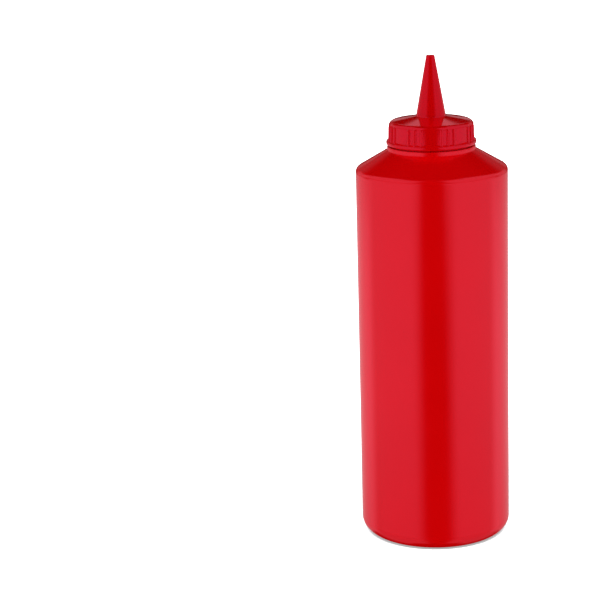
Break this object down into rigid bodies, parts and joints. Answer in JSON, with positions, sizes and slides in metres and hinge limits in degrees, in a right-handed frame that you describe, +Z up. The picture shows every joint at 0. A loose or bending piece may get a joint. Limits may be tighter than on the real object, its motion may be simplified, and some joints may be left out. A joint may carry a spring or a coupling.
{
  "type": "condiment squeeze bottle",
  "caption": "Opaque red plastic squeeze bottle for sauce: straight round body, sloping shoulder, and a ribbed screw cap with a long tapered pouring nozzle.",
  "frame": {"origin": "middle of the ring that the bottle stands on, at the level of the table", "axes": "+Z up along the axis of the bottle to the tip of the nozzle, -Y the front"},
  "size_m": [0.0808, 0.0808, 0.2616],
  "materials": {
    "bottle_plastic": "satin blow-moulded polyethylene",
    "cap_plastic": "satin injection-moulded polyethylene"
  },
  "bodies": {
    "root": {"bottle": "bottle_plastic", "cap": "cap_plastic"}
  },
  "joints": []
}
